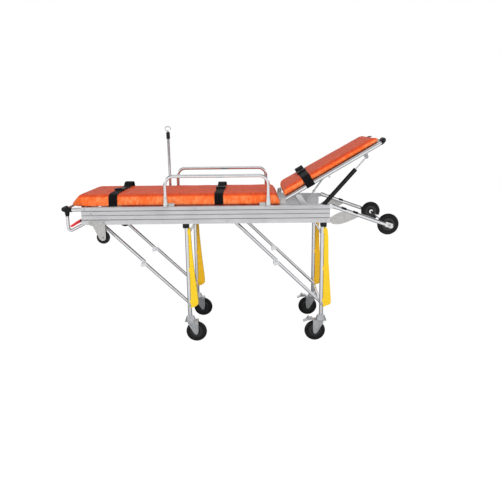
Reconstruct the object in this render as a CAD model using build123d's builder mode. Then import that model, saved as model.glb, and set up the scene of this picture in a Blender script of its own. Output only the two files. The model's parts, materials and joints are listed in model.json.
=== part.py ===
from build123d import *
from math import cos, dist, radians, sin
import os

# Folding stretcher trolley on two castored leg frames, with a tilting backrest.
# Millimetres, +Z up, +X towards the head end, Y across; "near" is -Y, "far" is +Y.
# The origin is the bottom centre of the whole trolley. Lengthways stations are
# measured from a drafting datum near mid length, which lies DATUM_X from the origin.

os.makedirs("parts", exist_ok=True)

DATUM_X = 140.70
SIGNS = (-1, 1)
SIDES = (("near", -1), ("far", 1))
CUT = Mode.SUBTRACT

# ---------------------------------------------------------- shared dimensions
RAIL_X0, RAIL_X1 = -980.0, 434.0    # foot end and head end of the side rails
RAIL_OUT, RAIL_IN = 281.7, 252.0    # outer face and lip edge, from the centre
RAIL_WEB = 272.6                    # inner face of the channel web
RAIL_Z0, RAIL_Z1 = 733.5, 833.0

LEGS = {"front": -388.0, "rear": 400.0}   # "front" is the foot end leg frame
LEG_Y = 226.5
LEG_R = 12.5
PIVOT_Z = 720.0                     # leg fold axis
PIVOT_PIN_R = 8.0
KNEE_DX, KNEE_Z = -2.0, 234.0       # lower cross tube, x from the leg line

BRACE_BAR = (-515.0, 791.0)         # cross bar at the brace top: x from the leg line, z
BRACE_BAR_R = 8.0

HINGE_X, HINGE_Z = 171.5, 859.0     # backrest hinge axis
TILT = radians(30.0)
ALONG_BACK = (cos(TILT), sin(TILT))
OFF_BACK = (-sin(TILT), cos(TILT))


# -------------------------------------------------------------------- helpers
def at(x, y, z):
    """Station x, y, z as a point in the model frame."""
    return Vector(x + DATUM_X, y, z)


def move(point, *steps):
    """Move an (x, z) point by (distance, direction) steps."""
    return tuple(point[i] + sum(length * way[i] for length, way in steps) for i in (0, 1))


def shift(points, dx, dz=0.0):
    """Shift a table of (x, z) points."""
    return [(x + dx, z + dz) for x, z in points]


def direction(start, end):
    """Unit (x, z) direction from one point to another."""
    length = dist(start, end)
    return ((end[0] - start[0]) / length, (end[1] - start[1]) / length)


def back(along, above):
    """Backrest point (along the tubes, above their plane) as station x, z."""
    return move((HINGE_X, HINGE_Z), (along, ALONG_BACK), (above, OFF_BACK))


def back_at(along, y, above=0.0):
    x, z = back(along, above)
    return (x, y, z)


def side_plane(x, y, z):
    """Upright lengthways plane: local x to the head, local y up, normal to -Y."""
    return Plane(origin=at(x, y, z), x_dir=(1, 0, 0), z_dir=(0, -1, 0))


def cross_plane(x, y=0.0, z=0.0):
    """Upright crossways plane: local x to the far side, local y up, normal to +X."""
    return Plane(origin=at(x, y, z), x_dir=(0, 1, 0), z_dir=(1, 0, 0))


def bar(start, end, radius, bore=0, mode=Mode.ADD):
    """Straight round bar or tube between two (x, y, z) points."""
    a, b = at(*start), at(*end)
    with BuildSketch(Plane(origin=a, z_dir=b - a)) as section:
        Circle(radius)
        if bore:
            Circle(bore, mode=CUT)
    extrude(section.sketch, amount=(b - a).length, dir=(b - a), mode=mode)


def side_bar(start, end, y, radius, bore=0, mode=Mode.ADD):
    """Bar between two (x, z) points at one width."""
    bar((start[0], y, start[1]), (end[0], y, end[1]), radius, bore, mode)


def upright(x, y, z0, z1, radius, bore=0, mode=Mode.ADD):
    bar((x, y, z0), (x, y, z1), radius, bore, mode)


def cross_bar(x, z, y0, y1, radius, mode=Mode.ADD):
    bar((x, y0, z), (x, y1, z), radius, mode=mode)


def bent(points, radius, bend, bore=0):
    """Tube bent through a row of points."""
    with BuildLine() as path:
        FilletPolyline(*[at(*p) for p in points], radius=bend)
    with BuildSketch(Plane(origin=path.line @ 0, z_dir=path.line % 0)) as section:
        Circle(radius)
        if bore:
            Circle(bore, mode=CUT)
    sweep(section.sketch, path=path.line)


def plate(outline, y0, y1, corner=0, mode=Mode.ADD, hole=None):
    """Plate of an (x, z) outline between two widths; hole is (x, z, radius)."""
    low, high = min(y0, y1), max(y0, y1)
    with BuildSketch(side_plane(0, high, 0)) as face:
        Polygon(*outline, align=None)
        if corner:
            fillet(face.vertices(), corner)
        if hole:
            with Locations(hole[:2]):
                Circle(hole[2], mode=CUT)
    extrude(face.sketch, amount=high - low, dir=(0, -1, 0), mode=mode)


def disc(x, z, y0, y1, radius, mode=Mode.ADD):
    """Disc about an axis along Y."""
    low, high = min(y0, y1), max(y0, y1)
    with BuildSketch(side_plane(x, high, z)) as face:
        Circle(radius)
    extrude(face.sketch, amount=high - low, dir=(0, -1, 0), mode=mode)


def block(x0, x1, y0, y1, z0, z1):
    with BuildSketch(Plane(origin=at(x0, min(y0, y1), z0))) as base:
        Rectangle(x1 - x0, abs(y1 - y0), align=(Align.MIN, Align.MIN))
    extrude(base.sketch, amount=z1 - z0, dir=(0, 0, 1))


def wheel(x, y, z, radius, width, bore):
    """Tyred wheel: crowned tread, recessed faces and a hub boss."""
    h = width / 2
    shoulder = radius - h * 0.55
    # half section (y, radius), from the bore out to the tread
    half = [(-h, bore), (-h, radius * 0.30), (-h * 0.72, radius * 0.34),
            (-h * 0.72, radius * 0.62), (-h * 0.86, radius * 0.68), (-h * 0.86, shoulder)]
    with BuildSketch(cross_plane(x, y, z)) as section:
        with BuildLine():
            Polyline(*half)
            ThreePointArc(half[-1], (0, radius), (h * 0.86, shoulder))
            Polyline(*[(-across, out) for across, out in reversed(half)], half[0])
        make_face()
    revolve(section.sketch, axis=Axis(at(x, y, z), (0, 1, 0)))


def save(builder, name):
    builder.part.label = name
    export_step(builder.part, "parts/" + name + ".step")


# --------------------------------------------------------------- fixed frame
# far side rail section (y, z): channel open inwards, thick lips, grooved outer face
RAIL_SECTION = [
    (RAIL_OUT, RAIL_Z0), (RAIL_OUT, 757), (279.2, 759.5), (274.6, 759.5), (274.6, 762.5),
    (277.6, 762.5), (277.6, 783.5), (275.6, 784.5), (275.6, 787.5), (277.6, 788.5),
    (277.6, 808.5), (274.6, 808.5), (274.6, 811.5), (279.2, 811.5), (RAIL_OUT, 814),
    (RAIL_OUT, 831), (279.7, RAIL_Z1), (RAIL_IN, RAIL_Z1), (RAIL_IN, 817), (256, 817),
    (256, 828), (RAIL_WEB, 828), (RAIL_WEB, 739), (RAIL_IN, 739), (RAIL_IN, RAIL_Z0)]
SLAT_STATIONS = (-952.0, -700.0, -460.0, -60.0, 140.0, 292.0)
SLAT_HALF, SLAT_Z0, SLAT_Z1 = 20.0, 820.0, 829.5
DROP_X, DROP_Y, DROP_Z = -972.0, 196.0, 722.0    # drop plate: foot face, half width, bottom
DECK_T, DECK_Y = 3.0, 203.0
DECK_WINDOWS = (-826, -580, -260, 40)


def make_side_rail(side, s):
    with BuildPart() as rail:
        with BuildSketch(cross_plane(RAIL_X0)):
            # mirrored points run backwards so that both faces look the same way
            Polygon(*[(s * y, z) for y, z in RAIL_SECTION[::s]], align=None)
        extrude(amount=RAIL_X1 - RAIL_X0)
    save(rail, "side_rail_" + side)


def make_cross_members():
    with BuildPart() as members:
        for x in SLAT_STATIONS:
            block(x - SLAT_HALF, x + SLAT_HALF, -RAIL_IN, RAIL_IN, SLAT_Z0, SLAT_Z1)
        # cross bars that carry the tops of the folding braces
        for leg_x in LEGS.values():
            cross_bar(leg_x + BRACE_BAR[0], BRACE_BAR[1], -RAIL_WEB, RAIL_WEB, BRACE_BAR_R)
        # slotted drop plate at the foot end
        with BuildSketch(cross_plane(DROP_X)) as drop:
            Polygon((-DROP_Y, SLAT_Z0), (-DROP_Y, DROP_Z), (DROP_Y, DROP_Z),
                    (DROP_Y, SLAT_Z0), align=None)
            fillet(drop.vertices().group_by(Axis.Z)[0], 16)
            with Locations((0, 770)):
                RectangleRounded(210, 46, 18, mode=CUT)
        extrude(amount=6)
    save(members, "cross_members")


def make_deck_panel():
    with BuildPart() as panel:
        block(DROP_X, 160, -DECK_Y, DECK_Y, SLAT_Z1, SLAT_Z1 + DECK_T)
        with BuildSketch(Plane(origin=at(0, 0, SLAT_Z1))):
            for x in DECK_WINDOWS:
                with Locations((x, 0)):
                    RectangleRounded(110, 260, 20)
        extrude(amount=DECK_T, mode=CUT)
    save(panel, "deck_panel")


# ---------------------------------------------------------- foot end handles
BOW_START, BOW_END = -980.4, -1095.0
BOW_Y, BOW_R, BOW_BEND = 265.0, 11.0, 45.0
HANDLE_Y, HANDLE_R = 155.0, 9.0      # lower handles
LEVER_PIN = (-1018.0, 738.5)
LEVER_PIN_R = 4.0
# (x, z)
LEVER_OUTLINE = [(-1090, 706), (-1086, 701), (-1077, 699), (-1038, 720.5), (-1013, 732),
                 (-1008, 739), (-1014, 746), (-1024, 746), (-1041, 738.5)]
LEVER_EAR = [(DROP_X, 722), (DROP_X, 760), (-1008, 751.5), (-1025, 745.5),
             (-1025, 731.5), (-1010, 726.5)]


def bow_at(x, y):
    """Point on the gently sloping bow handle centre line."""
    return (x, y, 820 + 0.0235 * (x - RAIL_X0))


def make_foot_handle():
    with BuildPart() as handle:
        bent([bow_at(BOW_START, -BOW_Y), bow_at(BOW_END, -BOW_Y),
              bow_at(BOW_END, BOW_Y), bow_at(BOW_START, BOW_Y)], BOW_R, BOW_BEND, 9.3)
    save(handle, "foot_handle")


def make_foot_handle_grips():
    with BuildPart() as grips:
        for s in SIGNS:
            bent([bow_at(-1035, s * BOW_Y), bow_at(BOW_END, s * BOW_Y),
                  bow_at(BOW_END, s * 176)], 13, BOW_BEND, BOW_R + 0.02)
    save(grips, "foot_handle_grips")


def make_lower_handles():
    with BuildPart() as handles:
        for s in SIGNS:
            y = s * HANDLE_Y
            bent([(-1101.5, y, 805.8), (-1102, y, 668.5), (-976.3, y, 732.6)], HANDLE_R, 18)
    save(handles, "lower_handles")


def make_lower_handle_boots():
    with BuildPart() as boots:
        for s in SIGNS:
            y = s * HANDLE_Y
            with BuildSketch(Plane(origin=at(-1101.6, y, 764))):
                Circle(10.5)
            with BuildSketch(Plane(origin=at(-1101.6, y, 790))):
                Circle(15)
            loft()
            side_bar((-1101.67, 758), (-1101.5, 802), y, HANDLE_R + 0.02, mode=CUT)
    save(boots, "lower_handle_boots")


def make_release_lever(side, s):
    y = s * HANDLE_Y
    with BuildPart() as lever:
        plate(LEVER_OUTLINE, y - 7, y + 7, 1.8, hole=(*LEVER_PIN, LEVER_PIN_R + 0.05))
    save(lever, "release_lever_" + side)


def make_lever_brackets():
    ear_in, ear_out = 8.0, 11.0
    with BuildPart() as brackets:
        for s in SIGNS:
            y = s * HANDLE_Y
            for g in SIGNS:
                plate(LEVER_EAR, y + g * ear_in, y + g * ear_out, 2)
            cross_bar(*LEVER_PIN, y - ear_out, y + ear_out, LEVER_PIN_R)
            # room for the handle tube between the ears
            side_bar((-960, 740.9), (-1030, 705.2), y, HANDLE_R + 0.1, mode=CUT)
    save(brackets, "lever_brackets")


# ----------------------------------------------------------------- rest wheels
REST_X, REST_Z, REST_R = -865.0, 659.0, 38.5
REST_AXLE_R = 5.0
REST_IN, REST_OUT, REST_T = 255.5, 285.2, 3.0    # bracket faces across, inner thickness
# lower edge shared by both cheeks (x, z)
REST_CHEEK_FOOT = [(-846, 690), (-848, 650), (-858, 641), (-872, 641), (-883, 650)]


def make_rest_wheel_brackets():
    with BuildPart() as brackets:
        for s in SIGNS:
            plate([(-940, 757), (-847, 757), *REST_CHEEK_FOOT, (-918, 727), (-940, 735)],
                  s * RAIL_OUT, s * REST_OUT, 3)
            plate([(-912, RAIL_Z0), (-847, RAIL_Z0), *REST_CHEEK_FOOT],
                  s * REST_IN, s * (REST_IN + REST_T), 3)
            block(-912, -847, s * REST_IN, s * RAIL_OUT, RAIL_Z0 - REST_T, RAIL_Z0)
            disc(REST_X, REST_Z, s * REST_IN, s * REST_OUT, REST_AXLE_R)
            disc(REST_X, REST_Z, s * REST_OUT, s * 289.0, 7.5)
    save(brackets, "rest_wheel_brackets")


def make_rest_wheel(side, s):
    with BuildPart() as tyre:
        wheel(REST_X, s * 270.1, REST_Z, REST_R, 19.0, REST_AXLE_R + 0.06)
    save(tyre, "rest_wheel_" + side)


# ------------------------------------------------------------------ leg frames
LEG_BORE = 11.0
LEG_END_Z = 158.0
GUIDE_HALF, GUIDE_TOP = 12.0, 700.0
# head side edge of the guide channels (x from the leg line, z)
GUIDE_EDGES = {
    "front": [(20, 700), (26, 560), (36, 430), (52, 262), (52, 238), (44, 228)],
    "rear": [(16, 700), (28, 684), (33, 640), (37, 500), (56, 262), (56, 238), (48, 228)]}


def make_leg_pivot_blocks():
    with BuildPart() as blocks:
        for leg_x in LEGS.values():
            for s in SIGNS:
                block(leg_x - 17, leg_x + 17, s * 241.2, s * 276, 707, RAIL_Z0)
                cross_bar(leg_x, PIVOT_Z, s * 240, s * 264, PIVOT_PIN_R + 0.05, mode=CUT)
        fillet(blocks.edges().filter_by(Axis.Y).group_by(Axis.Z)[0], 5)
    save(blocks, "leg_pivot_blocks")


def make_leg_frame(name, leg_x):
    with BuildPart() as frame:
        for s in SIGNS:
            upright(leg_x, s * LEG_Y, PIVOT_Z, LEG_END_Z, LEG_R)
            cross_bar(leg_x, PIVOT_Z, s * (LEG_Y - 6), s * 263, PIVOT_PIN_R)
        cross_bar(leg_x, PIVOT_Z, -240.6, 240.6, LEG_R)
        cross_bar(leg_x, 652, -LEG_Y, LEG_Y, 7.0)
        cross_bar(leg_x + KNEE_DX, KNEE_Z, -LEG_Y, LEG_Y, 8.0)
        for s in SIGNS:
            upright(leg_x, s * LEG_Y, 700, LEG_END_Z - 5, LEG_BORE, mode=CUT)
    save(frame, name + "_leg_frame")


def make_guide_shoes(name, leg_x):
    """Folded channel on the head side of each leg."""
    edge = GUIDE_EDGES[name]
    wall = 1.9
    outer = [(9, GUIDE_TOP), *edge, (9, 212)]
    # inner edge: in by the wall, raised at the bottom, open at the top
    inner = [(x - wall, z + (2.2 if z < 235 else 0)) for x, z in edge]
    inner[0] = (inner[0][0], GUIDE_TOP + 10)
    inner = [(5, GUIDE_TOP + 10), *inner, (5, 213.6)]
    with BuildPart() as shoes:
        for s in SIGNS:
            y = s * LEG_Y
            plate(shift(outer, leg_x), s * (LEG_Y - GUIDE_HALF), s * (LEG_Y + GUIDE_HALF))
            plate(shift(inner, leg_x), s * (LEG_Y - 10.2), s * (LEG_Y + 10.2), mode=CUT)
            # lugs that clip the channel to the leg tube
            for z in (252, 450, 676):
                block(leg_x + 3, leg_x + 15, y - GUIDE_HALF, y + GUIDE_HALF, z - 12, z + 12)
            upright(leg_x, y, 720, 190, LEG_R + 0.02, mode=CUT)
            # corner roller pin
            disc(leg_x + 44, 241, s * (LEG_Y - 12.3), s * (LEG_Y + 14.2), 4)
    save(shoes, name + "_guide_shoes")


# --------------------------------------------------------------- folding braces
# The upper half hangs on its cross bar and the lower half turns on the knee tube.
# They meet at a knuckle pin below the tube line.
BRACE_R, BRACE_BORE = 10.0, 8.5
BRACE_PIN = (-276.0, 473.0)         # x from the leg line, z
BRACE_UP_Y, BRACE_LOW_Y = 181.0, 201.5
DOWN_BRACE = (0.717, -0.697)        # down along the brace, towards the head
UP_BRACE = (-0.717, 0.697)
SQUARE_BRACE = (0.697, 0.717)       # square to the brace, up and towards the head


def brace_points(leg_x):
    """Knuckle pin and the elbow point on the tube line above it."""
    pin = (leg_x + BRACE_PIN[0], BRACE_PIN[1])
    return pin, move(pin, (18.5, SQUARE_BRACE))


def knuckle(y, elbow, tube_way, pin, pin_way, corner):
    """Knuckle half with its ear; tube_way runs along the tube to the elbow."""
    ear = [move(elbow, (-26, tube_way), (6, SQUARE_BRACE)),
           move(elbow, (-1.5, tube_way), (8, SQUARE_BRACE)),
           move(pin, (9, pin_way)),
           (pin[0] - 2 * SQUARE_BRACE[0], pin[1] - 9 * SQUARE_BRACE[1]),
           move(pin, (-10, pin_way), (-4, SQUARE_BRACE))]
    side_bar(move(elbow, (-34, tube_way)), move(elbow, (-4, tube_way)), y, 10.2)
    plate(ear, y - 9.5, y + 9.5, corner)
    disc(*pin, y - 9.5, y + 9.5, 9.5)


def make_strut_upper(name, leg_x):
    pin, elbow = brace_points(leg_x)
    top_x, top_z = leg_x + BRACE_BAR[0], BRACE_BAR[1]
    tube_top = move(elbow, (-345, DOWN_BRACE))
    hanger = [(top_x - 11, top_z), (top_x + 11, top_z),
              move(elbow, (-330, DOWN_BRACE), (1, (4, -2))), move(tube_top, (1, (-6, -6)))]
    with BuildPart() as strut:
        for s in SIGNS:
            y = s * BRACE_UP_Y
            side_bar(tube_top, move(elbow, (-6, DOWN_BRACE)), y, BRACE_R, BRACE_BORE)
            # eye and hanger plate on the cross bar
            disc(top_x, top_z, y - 10, y + 10, 12.5)
            plate(hanger, y - 7, y + 7)
            disc(top_x, top_z, y - 11, y + 11, BRACE_BAR_R + 0.06, mode=CUT)
            knuckle(y, elbow, DOWN_BRACE, pin, DOWN_BRACE, 2)
    save(strut, name + "_strut_upper")


def make_strut_lower(name, leg_x):
    pin, elbow = brace_points(leg_x)
    knee = (leg_x + KNEE_DX, KNEE_Z)
    tube_way = direction(knee, elbow)
    with BuildPart() as strut:
        for s in SIGNS:
            y = s * BRACE_LOW_Y
            side_bar(move(knee, (8, tube_way)), move(elbow, (-6, tube_way)),
                     y, BRACE_R, BRACE_BORE)
            disc(*knee, y - 10, y + 10, 12)
            disc(*knee, y - 11, y + 11, 8.06, mode=CUT)
            knuckle(y, elbow, tube_way, pin, UP_BRACE, 0)
    save(strut, name + "_strut_lower")


# --------------------------------------------------------------------- castors
WHEEL_R, WHEEL_W = 62.5, 30.0
TRAIL = 36.0
TRAIL_WAY = {"front": 1, "rear": -1}    # both pairs trail towards mid length
FORK_AXLE_R = 6.0
CHEEK_IN, CHEEK_OUT = 18.0, 22.0
CROWN_Z0, CROWN_Z1 = 128.0, 134.0
# fork cheek (distance from the leg line towards the wheel, z)
CHEEK = [(-16, CROWN_Z1), (49, CROWN_Z1), (49, 70), (45, 52), (36, 46), (26, 50),
         (18, 62), (-14, 120)]
# brake pedal (x from the rear leg line, z)
PEDAL = [(-51.6, 144), (-51.6, 132), (-84, 130), (-106, 121), (-108, 125.5), (-86, 135),
         (-78, 150), (-73, 151), (-68, 143)]


def make_castor_fork(name, leg_x, side, s):
    y, way = s * LEG_Y, TRAIL_WAY[name]
    wheel_x = leg_x + way * TRAIL
    crown_x0, crown_x1 = sorted((leg_x - way * 31, leg_x + way * 49))
    with BuildPart() as fork:
        upright(leg_x, y, 150, 200, LEG_BORE - 0.05)
        # swivel head
        with BuildSketch(Plane(origin=at(leg_x + way * 2, y, CROWN_Z1))):
            Ellipse(31, 23.5)
        with BuildSketch(Plane(origin=at(leg_x + way * 1, y, 157.5))):
            Ellipse(24, 20)
        loft()
        block(crown_x0, crown_x1, y - CHEEK_OUT, y + CHEEK_OUT, CROWN_Z0, CROWN_Z1)
        for g in SIGNS:
            plate([(leg_x + way * x, z) for x, z in CHEEK], y + g * CHEEK_IN, y + g * CHEEK_OUT)
        disc(wheel_x, WHEEL_R, y - CHEEK_OUT, y + CHEEK_OUT, FORK_AXLE_R)
        for g in SIGNS:
            disc(wheel_x, WHEEL_R, y + g * CHEEK_OUT, y + g * (CHEEK_OUT + 2.2), 9)
    save(fork, "castor_fork_" + name + "_" + side)


def make_castor_wheel(name, leg_x, side, s):
    with BuildPart() as tyre:
        wheel(leg_x + TRAIL_WAY[name] * TRAIL, s * LEG_Y, WHEEL_R, WHEEL_R, WHEEL_W,
              FORK_AXLE_R + 0.06)
    save(tyre, "castor_wheel_" + name + "_" + side)


def make_brake_pedal(side, s):
    y, leg_x = s * LEG_Y, LEGS["rear"]
    with BuildPart() as pedal:
        plate(shift(PEDAL, leg_x), y - 18, y + 18)
        # hinge barrel
        disc(leg_x - 52, 138, y - 18, y + 18, 2.9)
    save(pedal, "brake_pedal_" + side)


# ------------------------------------------------------ loading arms and wheels
LOAD_X, LOAD_Z, LOAD_R = 773.7, 713.0, 61.5
LOAD_AXLE_R, LOAD_AXLE_Y = 8.0, 277.0
ARM_Y, ARM_R = 265.0, 11.5
ARM_START, ARM_END = (446.0, 827.0), (795.0, 702.0)
ALONG_ARM = direction(ARM_START, ARM_END)
OFF_ARM = (-ALONG_ARM[1], ALONG_ARM[0])
SKID_T = 4.0


def arm(x, above=0.0):
    """Point on the arm line at station x, lifted square to it."""
    return move(ARM_START, ((x - ARM_START[0]) / ALONG_ARM[0], ALONG_ARM), (above, OFF_ARM))


def make_loading_arms():
    # square end clamp round the axle (along the arm, above it)
    clamp = [move((LOAD_X, LOAD_Z), (along, ALONG_ARM), (above, OFF_ARM))
             for along, above in ((-22, -15), (19, -15), (19, 12), (-22, 12))]
    with BuildPart() as arms:
        for s in SIGNS:
            side_bar(ARM_START, ARM_END, s * ARM_Y, ARM_R)
            disc(LOAD_X, LOAD_Z, s * 250, s * 280, LOAD_AXLE_R, mode=CUT)
            plate(clamp, s * 254.5, s * 275.5, 3, hole=(LOAD_X, LOAD_Z, LOAD_AXLE_R))
        # sockets that carry the arms at the ends of the rails
        for s in SIGNS:
            block(RAIL_X1, ARM_START[0], s * 251, s * RAIL_OUT, 811, RAIL_Z1)
            side_bar(arm(446.4), arm(470), s * ARM_Y, 13.5)
    save(arms, "loading_arms")


def make_skid_plates():
    top_start, top_end = arm(512, -11.7), arm(600, -11.7)    # edge under the arm
    tab_z = RAIL_Z0 - 3
    with BuildPart() as skids:
        for s in SIGNS:
            y0, y1 = s * ARM_Y - SKID_T / 2, s * ARM_Y + SKID_T / 2
            with BuildSketch(side_plane(0, y1, 0)):
                with BuildLine():
                    Polyline((434, 736), (434, 757), (470, 779), (499, 792), top_start, top_end)
                    Spline(top_end, (580, 752), (536, 733), (500, 722), (478, 719.5),
                           (455, 722), (434, 736))
                make_face()
            extrude(amount=SKID_T)
            # tab under the rail end, joined to the plate
            block(418, 434, s * ARM_Y - 12, s * ARM_Y + 12, tab_z, RAIL_Z0)
            block(430, 437, y0, y1, tab_z, RAIL_Z0)
            block(434.1, 437, y0, y1, tab_z, 740)
    save(skids, "skid_plates")


def make_skid_clamps():
    with BuildPart() as clamps:
        for s in SIGNS:
            y = s * ARM_Y
            for x in (511.0, 577.0):
                side_bar(arm(x - 13), arm(x + 13), y, 14.2)
                side_bar(arm(x - 20), arm(x + 20), y, ARM_R, mode=CUT)
                # saddle only: open below the tube
                plate([arm(x - 24, 3), arm(x + 24, 3), arm(x + 24, -30), arm(x - 24, -30)],
                      y - 20, y + 20, mode=CUT)
    save(clamps, "skid_clamps")


def make_loading_axle():
    with BuildPart() as axle:
        cross_bar(LOAD_X, LOAD_Z, -LOAD_AXLE_Y, LOAD_AXLE_Y, LOAD_AXLE_R)
        for s in SIGNS:
            disc(LOAD_X, LOAD_Z, s * LOAD_AXLE_Y, s * (LOAD_AXLE_Y + 4), 11.5)
            disc(LOAD_X, LOAD_Z, s * 216, s * 225, 13)
    save(axle, "loading_axle")


def make_loading_wheel(side, s):
    with BuildPart() as tyre:
        wheel(LOAD_X, s * 239.2, LOAD_Z, LOAD_R, 28, LOAD_AXLE_R + 0.06)
    save(tyre, "loading_wheel_" + side)


# ------------------------------------------------------------------------ pole
IV_X, IV_Y = -549.0, 270.0
IV_POLE_R = 5.0
IV_BORE = IV_POLE_R + 0.06
IV_TUBE_TOP = 1194.0
# open hook at the pole top (x from the pole, z)
IV_HOOK = [(0, 1244), (-15, 1253), (-18, 1263), (-8, 1271.5), (6, 1271.5), (16, 1264),
           (14, 1253)]


def make_iv_outer_tube():
    with BuildPart() as tube:
        upright(IV_X, IV_Y, RAIL_Z1, IV_TUBE_TOP, 8, IV_BORE)
        upright(IV_X, IV_Y, RAIL_Z1, RAIL_Z1 + 25, 11, IV_BORE)
    save(tube, "iv_outer_tube")


def make_iv_lock_collar():
    with BuildPart() as collar:
        upright(IV_X, IV_Y, IV_TUBE_TOP, IV_TUBE_TOP + 44, 11.7, IV_BORE)
        # outer rim at the top
        rims = collar.edges().filter_by(GeomType.CIRCLE).group_by(Axis.Z)[-1]
        fillet(rims.sort_by(SortBy.LENGTH)[-1], 4)
    save(collar, "iv_lock_collar")


def make_iv_pole():
    with BuildPart() as pole:
        upright(IV_X, IV_Y, 845, 1247, IV_POLE_R)
        with BuildLine() as hook:
            Spline(*[at(IV_X + x, IV_Y, z) for x, z in IV_HOOK])
        with BuildSketch(Plane(origin=hook.line @ 0, z_dir=hook.line % 0)):
            Circle(3.2)
        sweep(path=hook.line)
    save(pole, "iv_pole")


# ---------------------------------------------------------------- guard rails
GUARD_FEET = (-497.0, 84.0)          # foot end and head end stations
GUARD_Y, GUARD_TOP, GUARD_FOOT_Z = 275.0, 1003.0, 848.0
GUARD_PIVOT_Y, GUARD_PIVOT_Z, GUARD_PIN_R = 289.0, 838.0, 3.0
GUARD_EAR_IN, GUARD_EAR_OUT = 8.3, 13.3


def guard_pivot(x, s, half, radius, mode=Mode.ADD):
    """Lengthways bar on the guard rail's fold axis."""
    y = s * GUARD_PIVOT_Y
    bar((x - half, y, GUARD_PIVOT_Z), (x + half, y, GUARD_PIVOT_Z), radius, mode=mode)


def make_guard_rail(side, s):
    y = s * GUARD_Y
    x0, x1 = GUARD_FEET
    with BuildPart() as rail:
        bent([(x0, y, GUARD_FOOT_Z), (x0, y, GUARD_TOP), (x1, y, GUARD_TOP),
              (x1, y, GUARD_FOOT_Z)], 9.5, 50, 8)
        for x in GUARD_FEET:
            # tapered foot, bored out to the tube's inside
            with BuildSketch(Plane(origin=at(x, y, 842))):
                Ellipse(15, 11.5)
            with BuildSketch(Plane(origin=at(x, y, 892))):
                Ellipse(11, 10.8)
            loft()
            upright(x, y, GUARD_FOOT_Z, 905, 8, mode=CUT)
            # pivot knuckle at the outer foot
            block(x - 8, x + 8, s * GUARD_Y, s * 293, 841.5, 849)
            guard_pivot(x, s, 8, 5.2)
            guard_pivot(x, s, 12, GUARD_PIN_R + 0.05, mode=CUT)
    save(rail, "guard_rail_" + side)


def make_guard_rail_brackets():
    with BuildPart() as brackets:
        for s in SIGNS:
            for x, inward in zip(GUARD_FEET, (1, -1)):
                for ear_x in (x + GUARD_EAR_IN, x - GUARD_EAR_OUT):
                    block(ear_x, ear_x + GUARD_EAR_OUT - GUARD_EAR_IN,
                          s * RAIL_OUT, s * 292.6, 826, 841.4)
                guard_pivot(x, s, GUARD_EAR_OUT, GUARD_PIN_R)
                # rest block beside the foot
                rest_x0, rest_x1 = sorted((x + inward * 16, x + inward * 50))
                block(rest_x0, rest_x1, s * 264, s * RAIL_OUT, RAIL_Z1, 852)
    save(brackets, "guard_rail_brackets")


# ------------------------------------------------------------------- backrest
BACK_L, BACK_Y = 656.5, 240.0
BACK_R, BACK_BORE, BACK_BEND = 11.0, 9.3, 60.0
BACK_DECK_Y = 226.0
HINGE_PIN_R = 6.0
SPRING_FOOT, SPRING_TOP = (375.0, 792.0), (641.0, 1094.0)    # gas spring, near side
STAY_FOOT, STAY_TOP = (335.5, 771.0), (543.0, 1060.0)        # slim stay, far side


def clear_bore(start, end, y):
    """Clear the bore of a backrest side tube between two places along it."""
    side_bar(back(start, 0), back(end, 0), y, BACK_BORE, mode=CUT)


def make_backrest_frame():
    lug_x, lug_z = back(524, -3)
    top_x, top_z = SPRING_TOP
    with BuildPart() as frame:
        bent([back_at(8, -BACK_Y), back_at(BACK_L, -BACK_Y), back_at(BACK_L, BACK_Y),
              back_at(8, BACK_Y)], BACK_R, BACK_BEND, BACK_BORE)
        for s in SIGNS:
            disc(HINGE_X, HINGE_Z, s * (BACK_Y - 11), s * (BACK_Y + 11), 11.5)
        for along in (150.0, 450.0):
            bar(back_at(along, -BACK_Y, -2), back_at(along, BACK_Y, -2), 8)
        for s in SIGNS:
            clear_bore(22, 590, s * BACK_Y)
            disc(HINGE_X, HINGE_Z, s * (BACK_Y - 12), s * (BACK_Y + 12),
                 HINGE_PIN_R + 0.06, mode=CUT)
        # lug for the gas spring and pin for the slim stay, inside the tubes
        plate([(lug_x - 12, lug_z - 7), (lug_x + 12, lug_z + 7), (top_x + 9, top_z + 2),
               (top_x + 3, top_z - 9), (top_x - 8, top_z - 6)], -228.6, -232.6)
        disc(*STAY_TOP, 222, 233, 5)
        # small tab under the near tube
        plate([back(282, -9), back(296, -9), back(294, -24), back(284, -24)], -236, -244, 1)
        clear_bore(380, 460, BACK_Y)
        clear_bore(480, 560, -BACK_Y)
    save(frame, "backrest_frame")


def make_backrest_grips():
    # from part way round the corner to the straight end tube
    arc = [(BACK_L - BACK_BEND + BACK_BEND * sin(radians(turn)),
            BACK_Y - BACK_BEND + BACK_BEND * cos(radians(turn))) for turn in (30, 60, 90)]
    with BuildPart() as grips:
        for s in SIGNS:
            bend = [at(*back_at(along, s * y)) for along, y in arc]
            with BuildLine() as path:
                ThreePointArc(*bend)
                Line(bend[-1], at(*back_at(BACK_L, s * 150)))
            with BuildSketch(Plane(origin=path.line @ 0, z_dir=path.line % 0)) as ring:
                Circle(13.6)
                Circle(BACK_R, mode=CUT)
            sweep(ring.sketch, path=path.line)
    save(grips, "backrest_grips")


def round_head_corners(builder, thickness, radius):
    """Round the head end corners of a slab lying along the backrest."""
    fillet([e for e in builder.edges() if abs(e.length - thickness) < 0.01
            and e.center().X > at(500, 0, 0).X], radius)


def make_backrest_deck():
    with BuildPart() as deck:
        plate([back(16, 6.2), back(636, 6.2), back(636, 9.2), back(16, 9.2)],
              -BACK_DECK_Y, BACK_DECK_Y)
        round_head_corners(deck, 3, 50)
    save(deck, "backrest_deck")


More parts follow.
